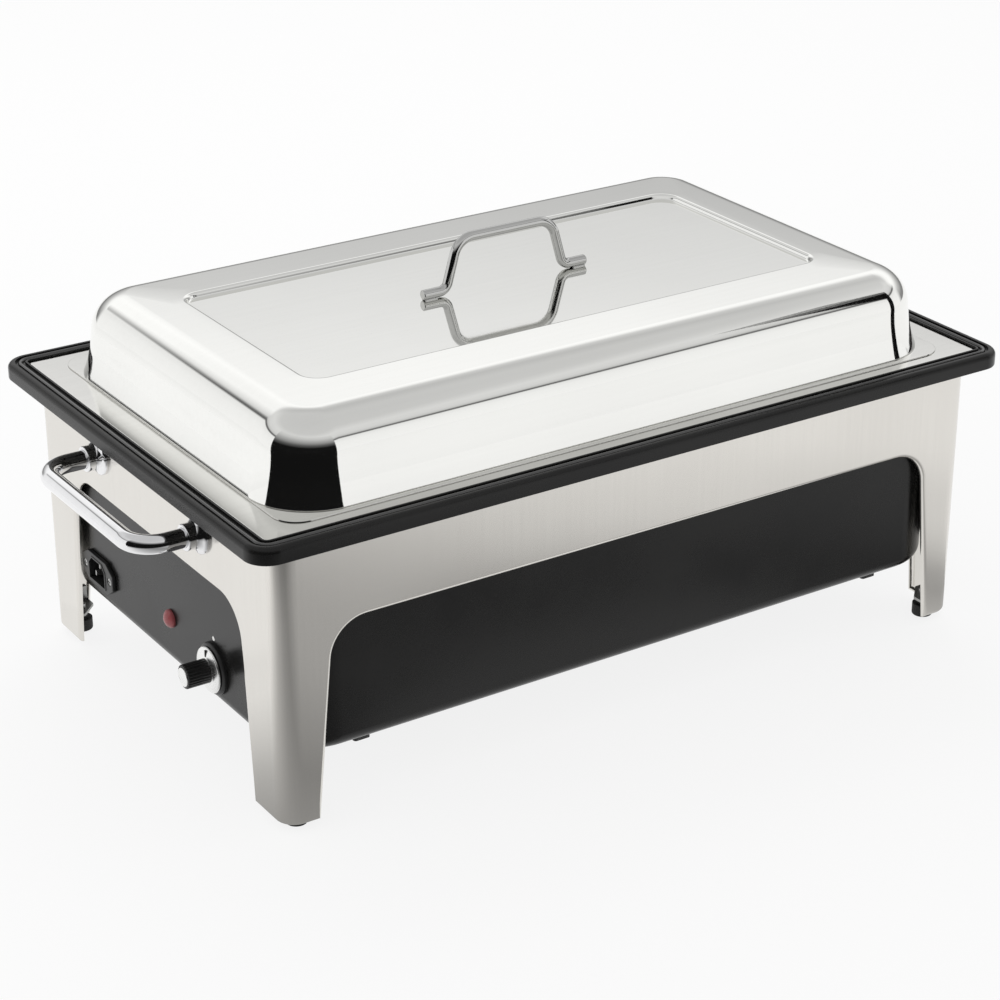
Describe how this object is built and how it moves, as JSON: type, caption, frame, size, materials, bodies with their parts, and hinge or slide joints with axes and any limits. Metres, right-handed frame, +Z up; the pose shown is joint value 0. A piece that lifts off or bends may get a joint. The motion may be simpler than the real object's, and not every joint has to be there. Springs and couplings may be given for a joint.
{
  "type": "electric chafing dish",
  "caption": "Oblong electric food warmer: water bath in a black housing on an arched bright steel stand, with side handles, a control knob, a lift-out food pan and a lift-off lid.",
  "frame": {"origin": "on the floor, under the middle of the dish", "axes": "+X along the length, away from the control end; +Y to the back; +Z up"},
  "size_m": [0.658, 0.374, 0.3059],
  "materials": {
    "stand_steel": "polished stainless sheet",
    "lid_steel": "polished stainless sheet",
    "bath_steel": "bright drawn stainless sheet",
    "handle_chrome": "polished",
    "knob_bright": "spun bright metal",
    "housing_plastic": "glossy moulded black",
    "black_plastic": "fine moulded black",
    "control_plastic": "plain moulded",
    "lamp_red": "clear red",
    "cover_metal": "satin black paint",
    "bracket_steel": "plain sheet",
    "screw_steel": "zinc plated",
    "foot_rubber": "matt",
    "seal_rubber": "matt",
    "spreader_aluminium": "rolled",
    "element_steel": "heat-darkened",
    "insulation_mat": "fibrous",
    "sensor_brass": "plain",
    "pin_metal": "plated",
    "lead_brown": "sleeved",
    "lead_black": "sleeved",
    "lead_green": "sleeved"
  },
  "bodies": {
    "base": {"stand": "stand_steel", "foot_brackets": "bracket_steel", "rubber_feet": "foot_rubber", "foot_screws": "screw_steel", "housing": "housing_plastic", "bottom_cover": "cover_metal", "cover_screws": "screw_steel", "water_bath": "bath_steel", "bath_seal": "seal_rubber", "heat_spreader": "spreader_aluminium", "heating_element": "element_steel", "clamp_bars": "bracket_steel", "clamp_studs": "screw_steel", "clamp_nuts": "screw_steel", "insulation": "insulation_mat", "thermostat_body": "control_plastic", "thermostat_nut": "screw_steel", "sensor_bulb": "sensor_brass", "capillary_tube": "sensor_brass", "thermal_cutout": "black_plastic", "indicator_lens": "lamp_red", "lamp_holder": "control_plastic", "power_inlet": "black_plastic", "inlet_pins": "pin_metal", "inlet_screws": "screw_steel", "terminal_block": "control_plastic", "supply_leads": "lead_brown", "control_leads": "lead_black", "heater_leads": "lead_brown", "earth_lead": "lead_green", "earth_stud": "sensor_brass", "dial_ring": "black_plastic", "side_handle_left": "handle_chrome", "side_handle_right": "handle_chrome", "handle_bosses": "handle_chrome", "handle_screws": "screw_steel"},
    "knob": {"thermostat_shaft": "screw_steel", "knob_skirt": "knob_bright", "control_knob": "black_plastic", "knob_cap": "knob_bright"},
    "pan": {"food_pan": "bath_steel"},
    "lid": {"lid_shell": "lid_steel", "lid_handle": "handle_chrome"}
  },
  "joints": [
    {"name": "knob_turn", "type": "hinge", "parent": "base", "child": "knob", "pos_m": [-0.2837, -0.07, 0.073], "axis": [1, 0, 0], "range_deg": [0, 270]},
    {"name": "pan_lift", "type": "slide", "parent": "base", "child": "pan", "axis": [0, 0, 1], "range_m": [0, 0.12]},
    {"name": "lid_lift", "type": "slide", "parent": "pan", "child": "lid", "axis": [0, 0, 1], "range_m": [0, 0.2]}
  ]
}
